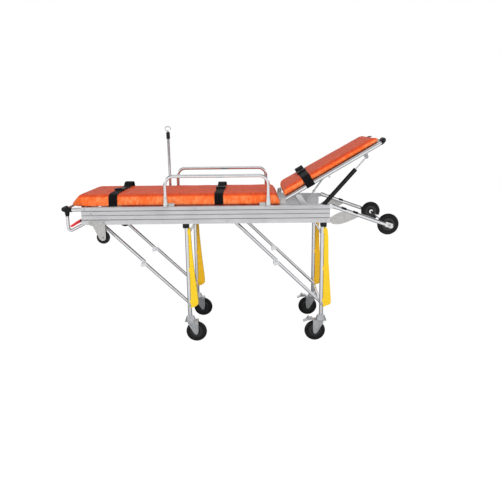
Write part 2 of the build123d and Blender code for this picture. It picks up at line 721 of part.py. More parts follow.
def make_backrest_pad():
    with BuildPart() as pad:
        plate([back(8, 10.5), back(632, 10.5), back(632, 15), back(9.5, 15)],
              -BACK_DECK_Y, BACK_DECK_Y)
        round_head_corners(pad, 4.5, 34)
        plate([back(9.5, 14.9), back(632, 14.9), back(632, 38), back(28, 50)],
              -BACK_DECK_Y, BACK_DECK_Y)
    save(pad, "backrest_pad")


def make_backrest_hinges():
    x, z = HINGE_X, HINGE_Z
    cheek_in, cheek_out = 252.2, 257.2
    cheek = [(x - 16, RAIL_Z1), (x + 16, RAIL_Z1), (x + 11, 868), (x + 4, 872),
             (x - 4, 872), (x - 11, 868)]
    with BuildPart() as hinges:
        for s, (foot_x, foot_z) in ((-1, SPRING_FOOT), (1, STAY_FOOT)):
            plate(cheek, s * cheek_in, s * cheek_out)
            block(x - 24, x + 24, s * cheek_in, s * 280, RAIL_Z1, RAIL_Z1 + 3)
            cross_bar(x, z, s * 228.4, s * cheek_out, HINGE_PIN_R)
            cross_bar(x, z, s * cheek_out, s * 261, 9)
            # foot bracket of the gas spring or stay, inside the rail channel
            block(foot_x - 11, foot_x + 11, s * 229.6, s * RAIL_WEB, foot_z - 11, foot_z + 11)
    save(hinges, "backrest_hinges")


# ------------------------------------------------------------- backrest props
PROP_ROD_R = 4.0
PROP_BORE = PROP_ROD_R + 0.06
SPRING_Y = -215.0
SPRING_L = dist(SPRING_FOOT, SPRING_TOP)
SPRING_BODY_END = SPRING_L - 89.0    # the rod shows beyond this
STAY_Y = 214.0
STAY_L = dist(STAY_FOOT, STAY_TOP)
STAY_TUBE_START = 94.0               # the rod shows below this


def spring_bar(start, end, radius, mode=Mode.ADD):
    """Bar on the gas spring axis, by distances from its foot."""
    way = direction(SPRING_FOOT, SPRING_TOP)
    side_bar(move(SPRING_FOOT, (start, way)), move(SPRING_FOOT, (end, way)),
             SPRING_Y, radius, mode=mode)


def stay_bar(start, end, radius, mode=Mode.ADD):
    """Bar on the stay axis, by distances from its foot."""
    way = direction(STAY_FOOT, STAY_TOP)
    side_bar(move(STAY_FOOT, (start, way)), move(STAY_FOOT, (end, way)),
             STAY_Y, radius, mode=mode)


def make_gas_spring_cylinder():
    with BuildPart() as cylinder:
        spring_bar(-10, SPRING_BODY_END, 12.5)
        spring_bar(0, SPRING_L, PROP_BORE, mode=CUT)
    save(cylinder, "gas_spring_cylinder")


def make_gas_spring_rod():
    with BuildPart() as rod:
        spring_bar(SPRING_BODY_END - 158, SPRING_L - 3, PROP_ROD_R)
        disc(*SPRING_TOP, SPRING_Y - 7, SPRING_Y + 7, 5.5)
        disc(*SPRING_TOP, SPRING_Y - 7, -228.5, 5)
    save(rod, "gas_spring_rod")


def make_stay_tube():
    with BuildPart() as tube:
        stay_bar(STAY_TUBE_START, STAY_L - 3, 6.0)
        stay_bar(STAY_TUBE_START, STAY_TUBE_START + 16, 8.0)
        stay_bar(STAY_TUBE_START - 2, STAY_L - 8, PROP_BORE, mode=CUT)
        disc(*STAY_TOP, STAY_Y - 7.5, STAY_Y + 7.5, 7.5)
    save(tube, "stay_tube")


def make_stay_rod():
    with BuildPart() as rod:
        stay_bar(0, STAY_L - 98, PROP_ROD_R)
        disc(*STAY_FOOT, STAY_Y - 6, STAY_Y + 6, 7)
    save(rod, "stay_rod")


# ----------------------------------------------------------------- upholstery
PAD_Y, PAD_BOTTOM, PAD_TOP = 250.0, 833.6, 895.0
# seat pad side view (x, z)
PAD_OUTLINE = [(-1062, PAD_BOTTOM), (-1066, 838), (-1012, 888), (-1003, PAD_TOP),
               (128, PAD_TOP), (138, 886), (150, 866), (164, PAD_BOTTOM)]
STRAP_STATIONS = (-802.0, -197.0)
STRAP_W = 50.0
# seat strap section (y, z)
SEAT_STRAP = [(-253.5, 833.4), (-253.5, 898.6), (253.5, 898.6), (253.5, 833.4),
              (251, 833.4), (251, 896.1), (-251, 896.1), (-251, 833.4)]
# backrest strap section (y, above the tube plane)
BACK_STRAP = [(-253.6, -11), (-253.6, 5), (-229, 50.4), (229, 50.4), (253.6, 5), (253.6, -11),
              (251.3, -11), (251.3, 4.4), (227.6, 48), (-227.6, 48), (-251.3, 4.4),
              (-251.3, -11)]
BACK_STRAP_START = 150.0


def make_seat_pad():
    with BuildPart() as pad:
        plate(PAD_OUTLINE, -PAD_Y, PAD_Y)
        # foot corners cut off by sloping planes
        for s in SIGNS:
            split(bisect_by=Plane(origin=at(-980, s * PAD_Y, PAD_BOTTOM),
                                  z_dir=(-3315.6, s * 5157.6, -1242)), keep=Keep.BOTTOM)
    save(pad, "seat_pad")


def make_seat_straps():
    with BuildPart() as straps:
        for x in STRAP_STATIONS:
            with BuildSketch(cross_plane(x - STRAP_W / 2)):
                Polygon(*SEAT_STRAP, align=None)
            extrude(amount=STRAP_W)
    save(straps, "seat_straps")


def make_backrest_strap():
    origin = at(*back_at(BACK_STRAP_START, 0))
    along = at(*back_at(BACK_STRAP_START + STRAP_W, 0)) - origin
    with BuildPart() as strap:
        with BuildSketch(Plane(origin=origin, x_dir=(0, 1, 0), z_dir=along)) as band:
            Polygon(*BACK_STRAP, align=None)
        extrude(band.sketch, amount=along.length, dir=along)
    save(strap, "backrest_strap")


def make_strap_buckles():
    with BuildPart() as buckles:
        for x in STRAP_STATIONS:
            block(x - 29, x + 29, -46, 34, 899, 909)
        fillet(buckles.edges().filter_by(Axis.Z), 5)
    save(buckles, "strap_buckles")


# ----------------------------------------------------------------- small items
STUD_X, STUD_Y = -952.0, 186.0
RAIL_BOLTS = ((-961, 822), (-200, 822), (-330, 822), (60, 746), (-150, 746),
              (330, 822), (410, 746), (385, 746))    # x, z
BOLT_H = 2.6


def make_floor_lock_studs():
    with BuildPart() as studs:
        for s in SIGNS:
            upright(STUD_X, s * STUD_Y, 711, 755, 8)
            upright(STUD_X, s * STUD_Y, 755, SLAT_Z0, 9.8)
    save(studs, "floor_lock_studs")


def make_frame_fasteners():
    # x, z, radius, face the head stands on
    bolts = [(x, z, 4.5, RAIL_OUT) for x, z in RAIL_BOLTS]
    bolts.append((-925, 796, 4.5, 277.6))
    bolts += [(x, 746, 5, REST_OUT) for x in (-927, -893, -859)]
    with BuildPart() as fasteners:
        for s in SIGNS:
            for x, z, radius, face_y in bolts:
                disc(x, z, s * face_y, s * (face_y + BOLT_H), radius)
    save(fasteners, "frame_fasteners")


# ------------------------------------------------------------------- build all
for make in (make_cross_members, make_deck_panel, make_foot_handle, make_foot_handle_grips,
             make_lower_handles, make_lower_handle_boots, make_lever_brackets,
             make_rest_wheel_brackets, make_leg_pivot_blocks, make_loading_arms,
             make_skid_plates, make_skid_clamps, make_loading_axle, make_iv_outer_tube,
             make_iv_lock_collar, make_iv_pole, make_guard_rail_brackets,
             make_backrest_frame, make_backrest_grips, make_backrest_deck,
             make_backrest_pad, make_backrest_hinges, make_gas_spring_cylinder,
             make_gas_spring_rod, make_stay_tube, make_stay_rod, make_seat_pad,
             make_seat_straps, make_backrest_strap, make_strap_buckles,
             make_floor_lock_studs, make_frame_fasteners):
    make()

for side, s in SIDES:
    for make in (make_side_rail, make_release_lever, make_rest_wheel, make_brake_pedal,
                 make_loading_wheel, make_guard_rail):
        make(side, s)

for name, leg_x in LEGS.items():
    for make in (make_leg_frame, make_guide_shoes, make_strut_upper, make_strut_lower):
        make(name, leg_x)
    for side, s in SIDES:
        make_castor_fork(name, leg_x, side, s)
        make_castor_wheel(name, leg_x, side, s)
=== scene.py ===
"""Wheeled ambulance stretcher: orange cushions, aluminium rails, folding legs and straps.

The head end, with the raised backrest, is at +x and the foot end at -x. The near side is -y,
the far side +y, and the floor is z = 0. Stations are drafted in millimetres and turned into
metres by station() and on_back(). Sizes handed to the mesh builders are in metres.
"""

import bpy
import bmesh
import json
import math
from mathutils import Matrix, Vector
from mathutils.bvhtree import BVHTree


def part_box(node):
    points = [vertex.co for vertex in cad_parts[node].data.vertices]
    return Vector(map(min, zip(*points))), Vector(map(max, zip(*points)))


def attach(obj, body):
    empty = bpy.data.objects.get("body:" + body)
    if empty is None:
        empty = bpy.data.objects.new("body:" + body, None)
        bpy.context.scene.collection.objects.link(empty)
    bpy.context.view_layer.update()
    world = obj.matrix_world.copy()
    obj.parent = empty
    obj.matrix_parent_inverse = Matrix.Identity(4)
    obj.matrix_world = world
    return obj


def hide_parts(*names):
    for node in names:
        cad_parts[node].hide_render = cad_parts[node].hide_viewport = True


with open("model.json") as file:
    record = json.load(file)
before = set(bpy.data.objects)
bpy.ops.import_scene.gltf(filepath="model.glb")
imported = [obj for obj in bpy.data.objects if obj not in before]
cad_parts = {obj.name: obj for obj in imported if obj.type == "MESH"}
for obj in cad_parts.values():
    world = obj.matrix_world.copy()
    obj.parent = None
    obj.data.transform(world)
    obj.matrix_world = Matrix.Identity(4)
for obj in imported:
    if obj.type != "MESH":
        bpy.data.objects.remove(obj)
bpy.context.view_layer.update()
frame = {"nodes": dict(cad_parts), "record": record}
NODES = frame["nodes"]

# ---------------------------------------------------------------- coordinates
DATUM_X = 0.14070                       # drafting datum in the row frame
HINGE_X, HINGE_Z = 171.5, 859           # backrest hinge, mm
COS30, SIN30 = math.cos(math.radians(30)), math.sin(math.radians(30))
SIDES = ((-1, "near"), (1, "far"))      # sign of y, name
FACES = ((-1, "a"), (1, "b"))           # the -y and +y face of a wheel
X_AXIS, Y_AXIS, Z_AXIS = (1, 0, 0), (0, 1, 0), (0, 0, 1)


def station(x, y, z):
    """Drafting station in mm to the row frame in metres."""
    return Vector((x / 1000 + DATUM_X, y / 1000, z / 1000))


def on_back(along, y, above):
    """Backrest station in mm, along and square to the 30 degree slope, to the row frame."""
    return station(HINGE_X + along * COS30 - above * SIN30, y,
                   HINGE_Z + along * SIN30 + above * COS30)


HINGE = station(HINGE_X, 0, HINGE_Z)
BACK_ALONG = (COS30, 0, SIN30)
BACK_NORMAL = Vector((-SIN30, 0, COS30))


def back_coordinates(point):
    """Distances in metres from the hinge, along and square to the backrest."""
    offset = point - HINGE
    return offset.x * COS30 + offset.z * SIN30, -offset.x * SIN30 + offset.z * COS30


def clamp(value):
    return min(1.0, max(0.0, value))


def spread(start, end, count):
    return [start + (end - start) * i / (count - 1) for i in range(count)]


# --------------------------------------------------------------- shader nodes
class Nodes:
    """Short ways to add nodes to a shader tree."""

    def __init__(self, tree):
        self.tree = tree

    def feed(self, node, inputs):
        """Sets each named input, or links it when given another node's output."""
        for socket, value in inputs.items():
            if isinstance(value, bpy.types.NodeSocket):
                self.tree.links.new(value, node.inputs[socket])
            else:
                node.inputs[socket].default_value = value

    def add(self, kind, inputs=None, **settings):
        node = self.tree.nodes.new("ShaderNode" + kind)
        for key, value in settings.items():
            setattr(node, key, value)
        self.feed(node, inputs or {})
        return node

    def mapping(self, scale=(1, 1, 1), rotation=(0, 0, 0)):
        coords = self.add("TexCoord").outputs["Object"]
        return self.add("Mapping", {"Vector": coords, "Scale": scale,
                                    "Rotation": rotation}).outputs[0]

    def noise(self, vector, scale, detail=3.0, roughness=0.55):
        return self.add("TexNoise", {"Vector": vector, "Scale": scale, "Detail": detail,
                                     "Roughness": roughness}).outputs["Fac"]

    def ramp(self, value, first, last, between=()):
        """Colour ramp; each stop is (position, rgb)."""
        node = self.add("ValToRGB", {0: value})
        elements = node.color_ramp.elements
        for element, (position, colour) in zip(elements, (first, last)):
            element.position = position
            element.color = (*colour, 1.0)
        for position, colour in between:
            elements.new(position).color = (*colour, 1.0)
        return node.outputs[0]

    def map_range(self, value, from_min=0.0, from_max=1.0, to_min=0.0, to_max=1.0):
        return self.add("MapRange", {"Value": value, "From Min": from_min, "From Max": from_max,
                                     "To Min": to_min, "To Max": to_max}).outputs[0]

    def maths(self, operation, a, b):
        return self.add("Math", {0: a, 1: b}, operation=operation).outputs[0]

    def weighted(self, a, weight_a, b, weight_b):
        return self.maths("ADD", self.maths("MULTIPLY", a, weight_a),
                          self.maths("MULTIPLY", b, weight_b))

    def bump(self, height, strength, distance, **normal):
        inputs = {"Strength": strength, "Distance": distance, "Height": height}
        return self.add("Bump", {**inputs, **normal}).outputs[0]

    def split(self, vector, axis):
        return self.add("SeparateXYZ", {0: vector}).outputs[axis]

    def mix_colour(self, factor, a, b):
        return self.add("Mix", {"Factor": factor, "A": a, "B": b},
                        data_type="RGBA").outputs["Result"]

    def mix_shader(self, factor, a, b):
        return self.add("MixShader", {0: factor, 1: a, 2: b}).outputs[0]

    def glow(self, kind, colour, strength):
        """Emission or Background of one colour."""
        return self.add(kind, {"Color": colour, "Strength": strength}).outputs[0]


def cleared(owner):
    """Empty node tree of a material or world."""
    owner.use_nodes = True
    owner.node_tree.nodes.clear()
    return Nodes(owner.node_tree)


def principled(name, values):
    """New material with a Principled surface; values are its input settings."""
    material = bpy.data.materials.new(name)
    nodes = cleared(material)
    shader = nodes.add("BsdfPrincipled", values)
    nodes.add("OutputMaterial", {0: shader.outputs[0]})
    return material, nodes, shader


# ------------------------------------------------------------------ materials
def metal(name, dark, light, rough, streak=(1, 1, 1), scale=30, metalness=1.0,
          relief=0.05, spread_rough=0.08):
    """Metal with a streaky or mottled finish."""
    material, nodes, shader = principled(name, {"Metallic": metalness, "Roughness": rough})
    mottle = nodes.noise(nodes.mapping(streak), scale, detail=4)
    nodes.feed(shader, {
        "Base Color": nodes.ramp(mottle, (0.3, dark), (0.7, light)),
        "Roughness": nodes.map_range(mottle, to_min=rough - spread_rough / 2,
                                     to_max=rough + spread_rough / 2),
        "Normal": nodes.bump(mottle, relief, distance=0.0004)})
    return material


def plastic(name, dark, light, rough, grain=900, relief=0.12, scale=14, specular=0.5, coat=0.0):
    """Moulded plastic or rubber: uneven tone and a fine grain."""
    material, nodes, shader = principled(name, {
        "Roughness": rough, "Specular IOR Level": specular,
        "Coat Weight": coat, "Coat Roughness": 0.2})
    coords = nodes.mapping()
    tone = nodes.noise(coords, scale, detail=5)
    fine = nodes.noise(coords, grain, detail=2)
    nodes.feed(shader, {
        "Base Color": nodes.ramp(tone, (0.3, dark), (0.75, light)),
        "Roughness": nodes.map_range(tone, to_min=rough - 0.06, to_max=rough + 0.08),
        "Normal": nodes.bump(fine, relief, distance=0.0003)})
    return material


def rail_aluminium():
    """Extruded rail: fine lengthways drawing lines and slight tone bands."""
    material, nodes, shader = principled("rail_aluminium", {"Metallic": 0.72, "Roughness": 0.34})
    lines = nodes.noise(nodes.mapping((0.6, 60, 60)), scale=6, detail=5, roughness=0.6)
    bands = nodes.noise(nodes.mapping((2.2, 1, 3)), scale=3.0, detail=3)
    tone = nodes.weighted(lines, 0.55, bands, 0.45)
    nodes.feed(shader, {
        "Base Color": nodes.ramp(tone, (0.30, (0.52, 0.515, 0.53)), (0.72, (0.77, 0.77, 0.79))),
        "Roughness": nodes.map_range(lines, to_min=0.26, to_max=0.42),
        "Normal": nodes.bump(lines, strength=0.10, distance=0.0004)})
    return material


def yellow_guide():
    """Yellow moulding with painted shade: darker and more orange towards the far side."""
    material = plastic("yellow_guide", dark=(0.95, 0.60, 0.008), light=(1.0, 0.69, 0.016),
                       rough=0.38, grain=500, relief=0.08, scale=7, coat=0.15)
    nodes = Nodes(material.node_tree)
    shader = nodes.tree.nodes["Principled BSDF"]
    near_colour = shader.inputs["Base Color"].links[0].from_socket
    # painted shade: guides on the far side (+y) blend to a darker orange, as if in shade
    across = nodes.split(nodes.add("TexCoord").outputs["Object"], "Y")
    far_shade_share = nodes.map_range(across, from_min=-0.05, from_max=0.10)
    shaded_far_colour = (1.0, 0.56, 0.009, 1.0)
    nodes.feed(shader, {"Base Color": nodes.mix_colour(far_shade_share, near_colour, shaded_far_colour)})
    return material


def grip_rubber():
    """Dark rubber with a fine cellular relief."""
    material, nodes, shader = principled("grip_rubber", {"Roughness": 0.6,
                                                         "Specular IOR Level": 0.25})
    coords = nodes.mapping()
    tone = nodes.noise(coords, scale=30, detail=4)
    cells = nodes.add("TexVoronoi", {"Scale": 420, "Vector": coords}).outputs["Distance"]
    nodes.feed(shader, {
        "Base Color": nodes.ramp(tone, (0.3, (0.005, 0.005, 0.0055)),
                                 (0.7, (0.014, 0.014, 0.015))),
        "Normal": nodes.bump(cells, strength=0.35, distance=0.0005)})
    return material


def orange_vinyl():
    """Coated upholstery: walls painted lighter as lit, top painted darker as shade, fine grain
    and pulled wrinkles.
    """
    material, nodes, shader = principled("orange_vinyl", {
        "Roughness": 0.45, "Specular IOR Level": 0.13,
        "Sheen Weight": 0.0, "Sheen Roughness": 0.4})
    coords = nodes.mapping()
    soft = nodes.noise(coords, scale=9, detail=4)
    pulled = nodes.mapping((26, 6, 15), (0, math.radians(28), 0))
    wrinkles = nodes.noise(pulled, scale=2.6, detail=3, roughness=0.5)
    grain = nodes.noise(coords, scale=1100, detail=2)
    # painted shade: upward-facing surfaces blend to a darker red top colour, while the walls
    # keep a lighter lit orange
    upward = nodes.split(nodes.add("NewGeometry").outputs["Normal"], "Z")
    shaded_top_share = nodes.map_range(upward, from_min=0.32, from_max=0.62)
    # colour is partly a soft random tone and partly the wrinkle noise, so the folds carry
    # painted highlights and shade beside their bump
    tone = nodes.weighted(soft, 0.5, wrinkles, 0.5)
    walls = nodes.ramp(tone, (0.42, (0.93, 0.15, 0.028)), (0.60, (1.0, 0.29, 0.10)))
    top = nodes.ramp(tone, (0.38, (0.72, 0.068, 0.014)), (0.64, (0.90, 0.115, 0.026)))
    folds = nodes.bump(wrinkles, strength=0.9, distance=0.004)
    nodes.feed(shader, {
        "Base Color": nodes.mix_colour(shaded_top_share, walls, top),
        "Roughness": nodes.map_range(soft, to_min=0.48, to_max=0.60),
        "Normal": nodes.bump(grain, strength=0.06, distance=0.0002, Normal=folds)})
    return material


def black_webbing():
    """Woven strap: diagonal weave crossed by bands along x."""
    material, nodes, shader = principled("black_webbing", {
        "Roughness": 0.78, "Specular IOR Level": 0.08,
        "Sheen Weight": 0.02, "Sheen Roughness": 0.5})
    coords = nodes.mapping()
    weave = nodes.add("TexWave", {"Scale": 330, "Distortion": 0.6, "Vector": coords},
                      wave_type="BANDS", bands_direction="DIAGONAL").outputs["Fac"]
    bands = nodes.add("TexWave", {"Scale": 95, "Vector": coords},
                      wave_type="BANDS", bands_direction="X").outputs["Fac"]
    height = nodes.maths("ADD", weave, nodes.maths("MULTIPLY", bands, 0.6))
    nodes.feed(shader, {
        "Base Color": nodes.ramp(height, (0.2, (0.003, 0.003, 0.0035)),
                                 (1.0, (0.010, 0.010, 0.011))),
        "Normal": nodes.bump(height, strength=0.35, distance=0.0004)})
    return material


MATERIALS = {
    "rail": rail_aluminium(),
    "plate_alu": metal("plate_aluminium", dark=(0.47, 0.46, 0.45), light=(0.60, 0.595, 0.585),
                       rough=0.42, scale=60, metalness=0.6, relief=0.12, spread_rough=0.1),
    "panel": metal("panel_aluminium", dark=(0.40, 0.41, 0.42), light=(0.52, 0.53, 0.54),
                   rough=0.4, streak=(1, 20, 1), scale=8, metalness=0.7, relief=0.08),
    "chrome_tube": metal("bright_tube", dark=(0.80, 0.81, 0.83), light=(0.90, 0.90, 0.92),
                         rough=0.15, scale=45, relief=0.02, spread_rough=0.06),
    "leg_tube": metal("leg_tube", dark=(0.70, 0.71, 0.73), light=(0.82, 0.82, 0.84),
                      rough=0.18, streak=(4, 4, 0.4), scale=40, relief=0.03),
    "zinc": metal("zinc_plate", dark=(0.42, 0.43, 0.45), light=(0.64, 0.65, 0.66),
                  rough=0.32, scale=70, metalness=0.9, relief=0.10, spread_rough=0.14),
    "knuckle": metal("cast_knuckle", dark=(0.60, 0.60, 0.58), light=(0.74, 0.74, 0.72),
                     rough=0.40, scale=90, metalness=0.55, relief=0.15, spread_rough=0.1),
    "black_steel": plastic("black_enamel", dark=(0.004, 0.004, 0.0045),
                           light=(0.009, 0.009, 0.010), rough=0.26, grain=500, relief=0.03,
                           scale=10, specular=0.25, coat=0.12),
    "black_plastic": plastic("black_moulding", dark=(0.005, 0.005, 0.0055),
                             light=(0.011, 0.011, 0.012), rough=0.42, specular=0.28),
    "tyre": plastic("tyre_rubber", dark=(0.004, 0.004, 0.0045), light=(0.010, 0.010, 0.011),
                    rough=0.46, grain=700, relief=0.2, scale=22, specular=0.28),
    "hub": plastic("wheel_hub", dark=(0.006, 0.006, 0.007), light=(0.013, 0.0135, 0.015),
                   rough=0.26, grain=400, relief=0.06, scale=18, specular=0.45, coat=0.25),
    "gloss_tyre": plastic("loading_tyre", dark=(0.002, 0.002, 0.0025),
                          light=(0.006, 0.006, 0.007), rough=0.22, grain=300, relief=0.05,
                          specular=0.22, coat=0.10),
    "red_plastic": plastic("red_moulding", dark=(0.70, 0.012, 0.018), light=(0.80, 0.025, 0.03),
                           rough=0.34, grain=600, relief=0.05, scale=10, coat=0.2),
    "yellow_guide": yellow_guide(),
    "plate_bright": metal("bright_clamp", dark=(0.70, 0.70, 0.70), light=(0.86, 0.86, 0.86),
                          rough=0.46, scale=40, metalness=0.35, spread_rough=0.1),
    "grip": grip_rubber(),
    "vinyl": orange_vinyl(),
    "welt": plastic("welt_cord", dark=(0.74, 0.075, 0.02), light=(0.86, 0.11, 0.032),
                    rough=0.5, relief=0.1, scale=30, specular=0.3),
    # painted shadow: dark red for the strip that stands in for the shade under the seat pad
    "shadow_gap": plastic("painted_shadow_strip", dark=(0.16, 0.010, 0.012), light=(0.25, 0.02, 0.02),
                          rough=0.8, grain=500, relief=0.2, scale=20, specular=0.2),
    "webbing": black_webbing(),
    "groove": metal("groove_shadow", dark=(0.10, 0.10, 0.11), light=(0.17, 0.17, 0.18),
                    rough=0.5, streak=(0.6, 40, 40), scale=6, metalness=0.6),
}
MATERIALS["vinyl_back"] = MATERIALS["vinyl"]


def assign(obj, material):
    obj.data.materials.clear()
    obj.data.materials.append(MATERIALS[material])


slots = {part["node"]: part["material_slot"] for part in frame["record"]["subparts"]}
for node_name, node_object in NODES.items():
    assign(node_object, slots[node_name])
for _, side in SIDES:
    assign(NODES["loading_wheel_" + side], "gloss_tyre")


# -------------------------------------------------------------- mesh builders
def smooth(obj, angle):
    """Smooth shading, with edges sharper than the angle in degrees kept crisp."""
    for polygon in obj.data.polygons:
        polygon.use_smooth = True
    obj.data.set_sharp_from_angle(angle=math.radians(angle))


def place(name, mesh, material, body, angle=35):
    """Object from a mesh, riding on a body, with the material of the given key."""
    obj = bpy.data.objects.new(name, mesh)
    bpy.context.scene.collection.objects.link(obj)
    mesh.materials.append(MATERIALS[material])
    smooth(obj, angle)
    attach(obj, body)
    return obj


def clean_mesh(name, verts, faces):
    """Mesh with doubles merged and normals facing outwards."""
    mesh = bpy.data.meshes.new(name)
    mesh.from_pydata([tuple(v) for v in verts], [], faces)
    mesh.validate()
    mesh.update()
    bm = bmesh.new()
    bm.from_mesh(mesh)
    bmesh.ops.remove_doubles(bm, verts=bm.verts, dist=1e-6)
    bmesh.ops.recalc_face_normals(bm, faces=bm.faces)
    bm.to_mesh(mesh)
    bm.free()
    return mesh


def loft(name, rings, material, body, angle=35):
    """Closed skin through equal rings, capped at both ends."""
    count = len(rings[0])
    faces = []
    for i in range(len(rings) - 1):
        for j in range(count):
            k = (j + 1) % count
            faces.append((i * count + j, i * count + k,
                          (i + 1) * count + k, (i + 1) * count + j))
    faces.append(tuple(range(count))[::-1])
    faces.append(tuple((len(rings) - 1) * count + j for j in range(count)))
    verts = [v for ring in rings for v in ring]
    return place(name, clean_mesh(name, verts, faces), material, body, angle)


def tangent_at(path, i):
    return (path[min(len(path) - 1, i + 1)] - path[max(0, i - 1)]).normalized()


def guide_for(direction):
    """An axis well away from the direction."""
    return Vector(Z_AXIS) if abs(direction.z) < 0.9 else Vector(X_AXIS)


def cord(name, path, radius, material, body, segments=8):
    """Round cord along an open path."""
    rings = []
    normal = None
    for i, point in enumerate(path):
        tangent = tangent_at(path, i)
        guide = guide_for(tangent) if normal is None else normal
        normal = (guide - tangent * guide.dot(tangent)).normalized()
        side_way = tangent.cross(normal)
        turns = [2 * math.pi * k / segments for k in range(segments)]
        rings.append([point + normal * (radius * math.cos(turn))
                      + side_way * (radius * math.sin(turn)) for turn in turns])
    loft(name, rings, material, body)


# Band section: shares of the half width and half thickness
BAND_SECTION = ((-1, -0.45), (-0.985, -1), (-0.5, -1), (0, -1), (0.5, -1), (0.985, -1),
                (1, -0.45), (1, 0.45), (0.985, 1), (0.5, 1), (0, 1), (-0.5, 1),
                (-0.985, 1), (-1, 0.45))


def ribbon(name, path, width_way, width, thickness, body):
    """Webbing band along a path, with softly rounded edges."""
    width_way = Vector(width_way)
    across = width_way.normalized()
    rings = []
    for i, point in enumerate(path):
        outward = width_way.cross(tangent_at(path, i)).normalized()
        rings.append([point + across * (a * (width / 2)) + outward * (b * (thickness / 2))
                      for a, b in BAND_SECTION])
    return loft(name, rings, "webbing", body, angle=50)


def solid_box(name, centre, size, material, body, bevel=0.002,
              axes=(X_AXIS, Y_AXIS, Z_AXIS), segments=3):
    """Bevelled block; axes gives its own x, y, z directions."""
    bm = bmesh.new()
    bmesh.ops.create_cube(bm, size=1.0)
    bmesh.ops.scale(bm, vec=Vector(size), verts=bm.verts)
    if bevel:
        bmesh.ops.bevel(bm, geom=list(bm.edges), offset=bevel, segments=segments,
                        profile=0.5, affect="EDGES")
    bm.transform(Matrix.Translation(centre) @ Matrix(axes).transposed().to_4x4())
    mesh = bpy.data.meshes.new(name)
    bm.to_mesh(mesh)
    bm.free()
    return place(name, mesh, material, body)


def turned(name, centre, axis, profile, material, body, segments=32, angle=35):
    """Solid of revolution; profile rows are (radius, distance along the axis).

    A profile that starts off the axis is closed back to its first ring.
    """
    axis = Vector(axis).normalized()
    a = axis.cross(guide_for(axis)).normalized()
    b = axis.cross(a)
    verts, faces, rings = [], [], []
    for radius, distance in profile:
        middle = centre + axis * distance
        if radius < 1e-9:
            rings.append([len(verts)])
            verts.append(middle)
        else:
            rings.append(list(range(len(verts), len(verts) + segments)))
            for k in range(segments):
                turn = 2 * math.pi * k / segments
                verts.append(middle + a * (radius * math.cos(turn))
                             + b * (radius * math.sin(turn)))
    pairs = list(zip(rings[:-1], rings[1:]))
    if len(rings[0]) > 1:
        pairs.append((rings[0], rings[-1]))
    for p, q in pairs:
        for k in range(segments):
            m = (k + 1) % segments
            if len(p) == 1:
                faces.append((p[0], q[k], q[m]))
            elif len(q) == 1:
                faces.append((p[k], p[m], q[0]))
            else:
                faces.append((p[k], p[m], q[m], q[k]))
    return place(name, clean_mesh(name, verts, faces), material, body, angle)


def hex_head(name, centre, axis, radius, height, body):
    """Zinc hexagon with a chamfered end, raised by the height of a washer."""
    turned(name + "_head", centre + Vector(axis).normalized() * (height * 0.2), axis,
           [(0, 0), (radius, 0), (radius, height * 0.65), (radius * 0.86, height * 0.8),
            (0, height * 0.8)], "zinc", body, segments=6, angle=20)


def washer(name, centre, axis, radius, height, body):
    """Zinc washer for a hexagon of the given radius and height."""
    turned(name, centre, axis,
           [(0, 0), (radius * 1.45, 0), (radius * 1.45, height * 0.2),
            (radius * 1.35, height * 0.25), (0, height * 0.25)], "zinc", body, segments=24)


# ------------------------------------------------------------------- cushions
CLOTH_FRAMES = 20
CLOTH_STIFFNESS = 15.0                  # tension and compression
CLOTH_PRESSURE = 4.0
PAD_LEAN = math.radians(28.863)         # slope of the backrest pad's solid
LEVEL = Matrix.Rotation(PAD_LEAN, 4, "Y") @ Matrix.Translation(-HINGE)


def inflate(obj, cap):
    """Blows the mesh up with the cloth solver, by at most cap and never downwards."""
    scene = bpy.context.scene
    rest = [vertex.co.copy() for vertex in obj.data.vertices]
    cloth = obj.modifiers.new("cloth", "CLOTH")
    settings = cloth.settings
    settings.quality = 4
    settings.mass = 0.3
    settings.tension_stiffness = CLOTH_STIFFNESS
    settings.compression_stiffness = CLOTH_STIFFNESS
    settings.shear_stiffness = 5
    settings.bending_stiffness = 0.6
    settings.use_pressure = True
    settings.uniform_pressure_force = CLOTH_PRESSURE
    settings.effector_weights.gravity = 0
    cloth.collision_settings.use_collision = False
    cloth.point_cache.frame_start = 1
    cloth.point_cache.frame_end = CLOTH_FRAMES
    for number in range(1, CLOTH_FRAMES + 1):
        scene.frame_set(number)
    evaluated = obj.evaluated_get(bpy.context.evaluated_depsgraph_get())
    blown = [vertex.co.copy() for vertex in evaluated.data.vertices]
    obj.modifiers.clear()
    scene.frame_set(1)
    for vertex, start, end in zip(obj.data.vertices, rest, blown):
        shift = end - start
        if shift.length > cap:
            shift = shift * (cap / shift.length)
        shift.z = max(shift.z, 0.0)
        vertex.co = start + shift


def puffed(node, name, voxel, shrink, cap, relax_passes, level=Matrix.Identity(4)):
    """Copies a cushion's solid, remeshes it level, inflates it a little and relaxes it."""
    mesh = NODES[node].data.copy()
    obj = bpy.data.objects.new(name, mesh)
    bpy.context.scene.collection.objects.link(obj)
    bm = bmesh.new()
    bm.from_mesh(mesh)
    bmesh.ops.remove_doubles(bm, verts=bm.verts, dist=1e-6)
    bm.transform(level)
    bm.normal_update()
    for vertex in bm.verts:
        vertex.co -= vertex.normal * shrink
    bm.to_mesh(mesh)
    bm.free()
    bpy.context.view_layer.objects.active = obj
    for other in bpy.context.selected_objects:
        other.select_set(False)
    obj.select_set(True)
    remesh = obj.modifiers.new("remesh", "REMESH")
    remesh.mode = "VOXEL"
    remesh.voxel_size = voxel
    bpy.ops.object.modifier_apply(modifier=remesh.name)
    inflate(obj, cap)
    obj.data.materials.clear()
    # the remesh leaves stair marks at rounded corners
    bm = bmesh.new()
    bm.from_mesh(obj.data)
    for _ in range(relax_passes):
        bmesh.ops.smooth_vert(bm, verts=bm.verts, factor=0.5,
                              use_axis_x=True, use_axis_y=True, use_axis_z=True)
    bm.transform(level.inverted())
    bm.to_mesh(obj.data)
    bm.free()
    return obj


